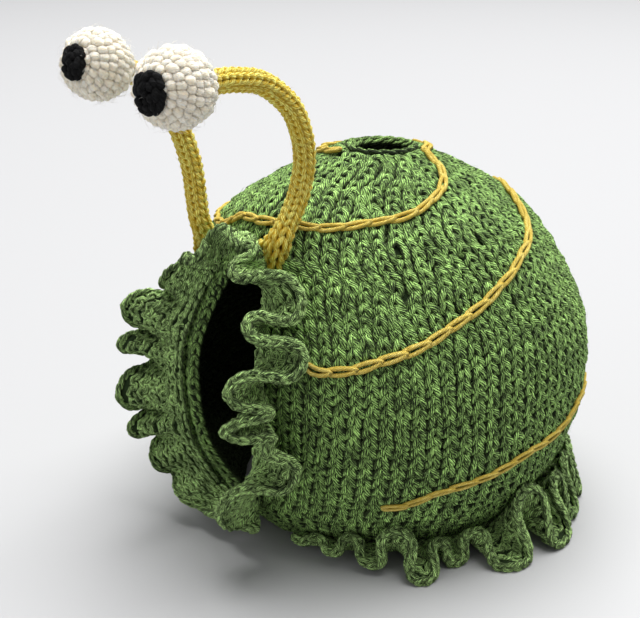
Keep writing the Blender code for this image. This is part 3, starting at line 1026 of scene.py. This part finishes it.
def build_ball(name, eye, material, node):
    """Rounds of single crochet: each stitch is a short full bump that leans over its round."""
    looks, side, top = ball_frame(eye)
    centre = np.asarray(eye["centre"])
    radius = eye["radius"]
    random = np.random.default_rng(31)
    strands = []
    rounds = int(round(math.pi * radius / EYE_PITCH))
    t, full = full_ends(9)
    for number in range(rounds):
        polar = math.pi * (number + 0.5) / rounds
        count = max(4, int(round(2 * math.pi * radius * math.sin(polar) / (EYE_PITCH * 0.9))))
        for k in range(count):
            # Each stitch is a little out of place, and its length, lean and depth differ
            turn = 2 * math.pi * (k + 0.5 * number + 0.1 * random.normal()) / count
            along = 0.42 * 2 * math.pi / count * t * (1 + 0.3 * random.normal())
            over = polar + EYE_PITCH / radius * 0.5 * t * (1 + 0.2 * random.normal())
            lift = (0.2 * t - 0.4 * t**2) * EYE_YARN + 0.15 * random.normal()
            around = side * np.cos(turn + along)[:, None] + top * np.sin(turn + along)[:, None]
            way = looks * np.cos(over)[:, None] + around * np.sin(over)[:, None]
            strands.append((centre + way * (radius - EYE_YARN * 0.85 + lift)[:, None], way, full))
    piece = yarn_piece(name, strands, EYE_YARN, material, sides=8)
    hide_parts(node)


def build_pupil(name, eye, material, node):
    """A thick disc of black crochet: rounds of bumps on a low mound."""
    looks, side, top = ball_frame(eye)
    middle = np.asarray(eye["centre"]) + looks * (eye["radius"] * math.cos(math.radians(PUPIL_SPREAD)))
    half_across, half_tall = eye["pupil"]
    random = np.random.default_rng(37)
    strands = []
    t, full = full_ends(7)
    for share, count, lift, thick in PUPIL_ROUNDS:
        for k in range(count):
            turn = 2 * math.pi * (k + 0.15 * random.normal()) / count + 0.4 / (share + 0.2) * t
            out = share + 0.03 * random.normal() + 0.06 * t
            aside = side * (half_across * np.cos(turn))[:, None]
            above = top * (half_tall * np.sin(turn))[:, None]
            height = lift + PUPIL_LIFT + 0.12 * random.normal()
            points = middle + (aside + above) * out[:, None] + looks * height
            strands.append((points, np.broadcast_to(looks, points.shape), full * thick))
    piece = yarn_piece(name, strands, 1.0, material, sides=8)
    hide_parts(node)


def build_core(name, eye, material):
    """The stuffing's smooth ground under an eye's crochet, in a duller white that is painted shade in the
    gaps.
    """
    looks, side, top = ball_frame(eye)
    centre = np.asarray(eye["centre"])
    radius = eye["radius"] - CORE_DEPTH
    sides = 32
    bands = 20
    points = []
    for band in range(1, bands):
        for k in range(sides):
            polar = math.pi * band / bands
            turn = 2 * math.pi * k / sides
            around = side * math.cos(turn) + top * math.sin(turn)
            way = looks * math.cos(polar) + around * math.sin(polar)
            points.append(centre + radius * way)
    points += [centre + radius * looks, centre - radius * looks]
    faces = []
    for band in range(bands - 2):
        near = band * sides
        far = near + sides
        for k in range(sides):
            j = (k + 1) % sides
            faces.append((near + k, near + j, far + j, far + k))
    front = (bands - 1) * sides
    last = (bands - 2) * sides
    for k in range(sides):
        j = (k + 1) % sides
        faces.append((front, j, k))
        faces.append((front + 1, last + k, last + j))
    return new_piece(name, points, faces, material)


# Loose fibres


def build_fuzz(name, roots, outs, reach, material, slot):
    """Loose fibres that stand off the wool, each curling its own way."""
    random = np.random.default_rng(len(roots))
    outs = unit(outs)
    strands = []
    t = np.linspace(0, 1, 5)[:, None]
    thinning = np.linspace(1, 0.4, 5)
    for root, out in zip(roots, outs):
        lean = unit(np.cross(out, random.normal(0, 1, 3)))
        curl = unit(np.cross(out, random.normal(0, 1, 3)))
        size = reach * random.uniform(0.5, 1.6)
        points = root + size * (out * (0.75 * t - 0.35 * t**2) + lean * 0.7 * t + curl * 0.5 * t**2)
        strands.append((points, np.broadcast_to(out, points.shape), thinning))
    yarn_piece(name, strands, FUZZ_RADIUS, material, sides=3)


def build_all_fuzz(green, mustard, white):
    """Loose fibres on the dome, the stalks and the eyes."""
    random = np.random.default_rng(41)
    count, reach = FUZZ["dome"]
    angle = random.uniform(-math.pi, math.pi, count)
    s = random.uniform(4, DOME_S - 1, count)
    # As many to an area near the narrow top as lower down, and none in the slits
    widest = 72
    clear = 0.03
    keep = random.uniform(0, widest, count) < outline_at(s)[1]
    keep &= np.abs(angle) > slit_edge(SPOUT_SLIT, s) + clear
    keep &= math.pi - np.abs(angle) > slit_edge(HANDLE_SLIT, s) + clear
    build_fuzz("dome_fuzz", *dome(angle[keep], s[keep], -FUZZ_ROOT), reach, green, "green_wool")
    for word, stalk, eye in (("near", STALK_NEAR, EYE_NEAR), ("far", STALK_FAR, EYE_FAR)):
        count, reach = FUZZ["stalk"]
        line = smooth_curve(stalk["path"], STALK_POINTS)
        ahead = unit(np.gradient(line, axis=0))
        picks = random.integers(0, STALK_POINTS - 10, count)
        outs = unit(np.cross(ahead[picks], random.normal(0, 1, (count, 3))))
        roots = line[picks] + outs * (STALK_RADIUS - 0.4)
        build_fuzz(f"stalk_{word}_fuzz", roots, outs, reach, mustard, "mustard_wool")
        count, reach = FUZZ["eye"]
        outs = unit(random.normal(0, 1, (count, 3)))
        roots = np.asarray(eye["centre"]) + outs * (eye["radius"] - FUZZ_ROOT)
        build_fuzz(f"eye_{word}_fuzz", roots, outs, reach, white, "white_wool")


# Materials


def new_material(name):
    """A new material, with its nodes, links and shader."""
    material = bpy.data.materials.new(name)
    material.use_nodes = True
    nodes = material.node_tree.nodes
    return material, nodes, material.node_tree.links, nodes["Principled BSDF"]


def set_inputs(node, values):
    """Sets a node's inputs by their names."""
    for name, value in values.items():
        node.inputs[name].default_value = value


def set_ramp(node, colours, places=(0.0, 1.0)):
    """Sets the two colours of a colour ramp and where they lie."""
    for element, colour, place in zip(node.color_ramp.elements, colours, places):
        element.color = (*colour, 1)
        element.position = place


def wool(name, dark, light, twist, under, sheen=0.2, soft=0.0, two_faced=False, full=0.95):
    """Plied wool: twisted strands from each point's place along and round its yarn, with heathered colour.

    The colour goes from dark between the plies, which is painted shade, to light along them, which is painted
    highlight, at the share full. Under is the share of brightness that painted shade leaves on the yarn's
    underside, or between two faces, and soft is how much light goes through."""
    material, nodes, links, shader = new_material(name)
    plies, turn_length = twist

    def add(kind, **settings):
        node = nodes.new(kind)
        for key, value in settings.items():
            setattr(node, key, value)
        return node

    def maths(operation, first, second=None):
        node = add("ShaderNodeMath", operation=operation)
        for socket, value in zip(node.inputs, (first, second)):
            if value is None:
                continue
            if isinstance(value, (int, float)):
                socket.default_value = value
            else:
                links.new(value, socket)
        return node.outputs[0]

    def spread(value, low, high, bottom, top):
        node = add("ShaderNodeMapRange", interpolation_type="SMOOTHSTEP")
        set_inputs(node, {"From Min": low, "From Max": high, "To Min": bottom, "To Max": top})
        links.new(value, node.inputs["Value"])
        return node.outputs["Result"]

    def noise(place, scale, detail):
        node = add("ShaderNodeTexNoise")
        set_inputs(node, {"Scale": scale, "Detail": detail})
        links.new(place, node.inputs["Vector"])
        return node.outputs["Fac"]

    mark = add("ShaderNodeAttribute", attribute_name="yarn")
    split = add("ShaderNodeSeparateXYZ")
    links.new(mark.outputs["Vector"], split.inputs[0])
    along, cos, sin = split.outputs
    angle = maths("ARCTAN2", sin, cos)
    turn = maths("ADD", angle, maths("MULTIPLY", along, -2 * math.pi / turn_length))
    # Fibres: noise drawn out along the yarn, which also bends the plies
    fibre_place = add("ShaderNodeCombineXYZ")
    links.new(maths("MULTIPLY", along, 0.9), fibre_place.inputs[0])
    links.new(maths("MULTIPLY", maths("SINE", turn), 4.5), fibre_place.inputs[1])
    links.new(maths("MULTIPLY", maths("COSINE", turn), 4.5), fibre_place.inputs[2])
    fibre = noise(fibre_place.outputs[0], 1.0, 2.5)
    # Plies: painted shade between them and painted highlight along them
    bent = maths("ADD", maths("MULTIPLY", turn, float(plies)), maths("MULTIPLY", fibre, 7.0))
    ply_up = maths("ADD", maths("MULTIPLY", maths("SINE", bent), 0.5), 0.5)
    mixed = maths("ADD", maths("MULTIPLY", ply_up, 0.42), spread(fibre, 0.36, 0.68, 0.0, 0.62))
    # Heather: patches a few millimetres wide
    place = add("ShaderNodeTexCoord")
    patch = noise(place.outputs["Object"], 230.0, 3.0)
    mixed = maths("MULTIPLY", mixed, spread(patch, 0.32, 0.68, 0.72, 1.15))
    # Painted shade: darker towards the underside, where the next yarns press
    facing = maths("ABSOLUTE", sin) if two_faced else sin
    mixed = maths("MULTIPLY", mixed, spread(facing, 0.05, 0.95, under, 1.0))
    ramp = add("ShaderNodeValToRGB")
    set_ramp(ramp, (dark, light), (0.24, full))
    links.new(mixed, ramp.inputs["Fac"])
    links.new(ramp.outputs["Color"], shader.inputs["Base Color"])
    height = maths("ADD", ply_up, maths("MULTIPLY", fibre, 0.6))
    bumps = add("ShaderNodeBump")
    set_inputs(bumps, {"Strength": 1.0, "Distance": 0.0003})
    links.new(height, bumps.inputs["Height"])
    links.new(bumps.outputs["Normal"], shader.inputs["Normal"])
    looks = {
        "Roughness": 0.85,
        "Specular IOR Level": 0.2,
        "Subsurface Weight": soft,
        "Subsurface Radius": (0.8, 0.9, 1.0),
        "Subsurface Scale": 0.0012,
        "Sheen Weight": sheen,
        "Sheen Roughness": 0.4,
        "Sheen Tint": (*[min(1.0, 0.1 + value) for value in light], 1),
    }
    set_inputs(shader, looks)
    return material


def mottled(name, low, high, scale, space, roughness, specular):
    """A plain material whose colour wanders between two."""
    material, nodes, links, shader = new_material(name)
    place = nodes.new("ShaderNodeTexCoord")
    noise = nodes.new("ShaderNodeTexNoise")
    ramp = nodes.new("ShaderNodeValToRGB")
    set_inputs(noise, {"Scale": scale})
    set_ramp(ramp, (low, high))
    set_inputs(shader, {"Roughness": roughness, "Specular IOR Level": specular})
    links.new(place.outputs[space], noise.inputs["Vector"])
    links.new(noise.outputs["Fac"], ramp.inputs["Fac"])
    links.new(ramp.outputs["Color"], shader.inputs["Base Color"])
    return material


def ground_wool(name, colour):
    """Felted wool, for the ground between the stitches in colours of painted shade, and for loose fibres."""
    low = [value * 0.5 for value in colour]
    high = [value * 1.5 for value in colour]
    return mottled(name, low, high, 900.0, "Object", roughness=0.95, specular=0.1)


# Stage


def build_floor():
    """A pale seamless sheet under and behind the cosy."""
    pale = (0.37, 0.37, 0.374)
    paler = (0.39, 0.39, 0.394)
    material = mottled("pale_paper", pale, paler, 3.0, "Generated", roughness=0.6, specular=0.5)
    half = FLOOR_HALF
    corners = [(-half, -half, 0), (half, -half, 0), (half, half, 0), (-half, half, 0)]
    mesh = bpy.data.meshes.new("floor")
    mesh.from_pydata(corners, [], [(0, 1, 2, 3)])
    mesh.materials.append(material)
    new_object("floor", mesh)


def build_lights():
    """An even pale sky, a broad light above and behind, and a weak one in front."""
    world = bpy.data.worlds.new("studio")
    bpy.context.scene.world = world
    world.use_nodes = True
    set_inputs(world.node_tree.nodes["Background"], {"Color": (0.97, 0.98, 1.0, 1), "Strength": 0.38})
    for name, place, size, power in LIGHTS:
        light = bpy.data.lights.new(name, "AREA")
        light.size = size
        light.energy = power
        lamp = new_object(name, light)
        lamp.location = place
        lamp.rotation_euler = to_euler(np.subtract(LIGHTS_AIM, place))
    bpy.context.scene.view_settings.view_transform = "Standard"


def build_camera():
    """The photograph's camera."""
    camera = new_object("camera", bpy.data.cameras.new("camera"))
    camera.location = CAMERA_PLACE
    camera.rotation_euler = to_euler(CAMERA_LOOKS)
    camera.data.lens = CAMERA_LENS
    camera.data.sensor_width = 36.0
    camera.data.sensor_fit = "HORIZONTAL"
    camera.data.clip_start = 0.01
    bpy.context.scene.camera = camera


def to_euler(way):
    """The rotation of a camera or a light that looks this way, with the picture upright."""
    way = unit(way)
    return (math.acos(-way[2]), 0.0, math.atan2(way[1], way[0]) - math.pi / 2)


# The whole


def build_cosy():
    """Every knitted and crocheted piece, in its wool."""
    green = wool("green_wool", **GREEN)
    # A brighter copy of the green wool, painted light on the frills
    frill_green_painted_light = wool("frill_green_wool", **FRILL_GREEN_PAINTED_LIGHT)
    mustard = wool("mustard_wool", **MUSTARD)
    # A brighter copy of the mustard wool, painted light on the stalks
    stalk_mustard_painted_light = wool("stalk_mustard_wool", **STALK_MUSTARD_PAINTED_LIGHT)
    white = wool("white_wool", **WHITE)
    black = wool("black_wool", **BLACK)
    # The grounds' near-black green and dull white are painted shade in the gaps between the stitches
    gap_shade_green = ground_wool("deep_green_wool", (0.016, 0.028, 0.01))
    gap_shade_white = ground_wool("deep_white_wool", (0.78, 0.68, 0.52))
    build_dome(green, gap_shade_green)
    for node, grid, rows, flat, seed in (
        ("spout_frill", spout_frill_grid(), SPOUT_FRILL_ROWS, (0.33, 0.015), 21),
        ("hem_frill", hem_frill_grid(), HEM_FRILL_ROWS, (0.56, 0.0152), 22),
    ):
        build_frill(f"{node}_knit", node, grid, rows, frill_green_painted_light, gap_shade_green, seed)
    build_chains(mustard)
    build_stalk("stalk_near_cord", STALK_NEAR, stalk_mustard_painted_light)
    build_stalk("stalk_far_cord", STALK_FAR, stalk_mustard_painted_light)
    for word, eye in (("near", EYE_NEAR), ("far", EYE_FAR)):
        core = build_core(f"eye_{word}_core", eye, gap_shade_white)
        build_ball(f"eye_{word}_crochet", eye, white, f"eye_{word}")
        build_pupil(f"pupil_{word}_crochet", eye, black, f"pupil_{word}")
    build_all_fuzz(
        ground_wool("green_fibre", (0.26, 0.42, 0.16)),
        ground_wool("mustard_fibre", (0.62, 0.5, 0.18)),
        ground_wool("white_fibre", (0.75, 0.73, 0.68)),
    )


def main():
    """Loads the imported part, dresses it and sets it on its stage."""
    for item in list(bpy.data.objects):
        bpy.data.objects.remove(item)
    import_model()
    build_cosy()
    build_floor()
    build_lights()
    build_camera()


main()
